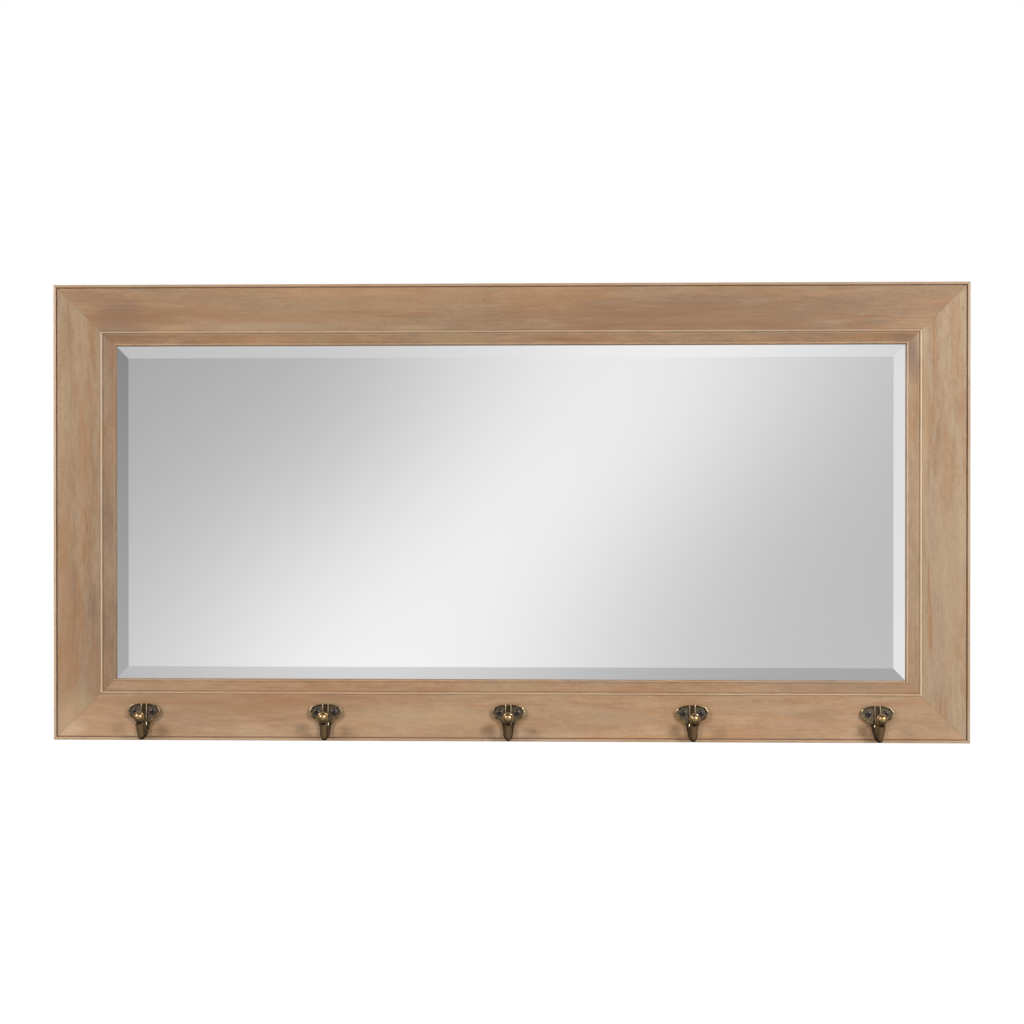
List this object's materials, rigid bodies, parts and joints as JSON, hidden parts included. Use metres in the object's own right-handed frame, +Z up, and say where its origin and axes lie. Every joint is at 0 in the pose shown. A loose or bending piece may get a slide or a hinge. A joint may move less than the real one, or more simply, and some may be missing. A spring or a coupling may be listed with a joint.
{
  "type": "mirror with hooks",
  "caption": "Rectangular wall mirror in a mitred wooden frame, with bevelled glass, a row of cast ball-end coat hooks on the lower rail and D-ring hangers behind.",
  "frame": {"origin": "middle of the top rail's back face, which hangs against the wall", "axes": "+X along the frame to the viewer's right, +Y into the wall, +Z up; the mirror faces -Y"},
  "size_m": [0.914, 0.0599, 0.457],
  "materials": {
    "washed_wood": "fine-grained wood with a thin grey-brown wash, matt",
    "mirror_glass": "silvered glass with a ground and polished bevel",
    "hardboard": "brown hardboard, slightly fibrous",
    "zinc_steel": "bright zinc plating",
    "antique_brass": "dark antiqued brass, rubbed bright on the raised edges and the ball",
    "dark_screw": "blackened steel",
    "bumper_rubber": "matt black rubber"
  },
  "bodies": {
    "mirror": {"top_rail": "washed_wood", "bottom_rail": "washed_wood", "left_stile": "washed_wood", "right_stile": "washed_wood", "mirror_glass": "mirror_glass", "backing_board": "hardboard", "glazing_tabs": "zinc_steel", "corner_nails": "zinc_steel", "hook_1": "antique_brass", "hook_2": "antique_brass", "hook_3": "antique_brass", "hook_4": "antique_brass", "hook_5": "antique_brass", "hook_screws_1": "dark_screw", "hook_screws_2": "dark_screw", "hook_screws_3": "dark_screw", "hook_screws_4": "dark_screw", "hook_screws_5": "dark_screw", "left_hanger_strap": "zinc_steel", "right_hanger_strap": "zinc_steel", "hanger_screws": "zinc_steel", "wall_bumpers": "bumper_rubber"},
    "left_ring": {"left_d_ring": "zinc_steel"},
    "right_ring": {"right_d_ring": "zinc_steel"}
  },
  "joints": [
    {"name": "left_ring_swing", "type": "hinge", "parent": "mirror", "child": "left_ring", "pos_m": [-0.4305, 0.00248, -0.0835], "axis": [1, 0, 0], "range_deg": [0, 175]},
    {"name": "right_ring_swing", "type": "hinge", "parent": "mirror", "child": "right_ring", "pos_m": [0.4305, 0.00248, -0.0835], "axis": [1, 0, 0], "range_deg": [0, 175]}
  ]
}
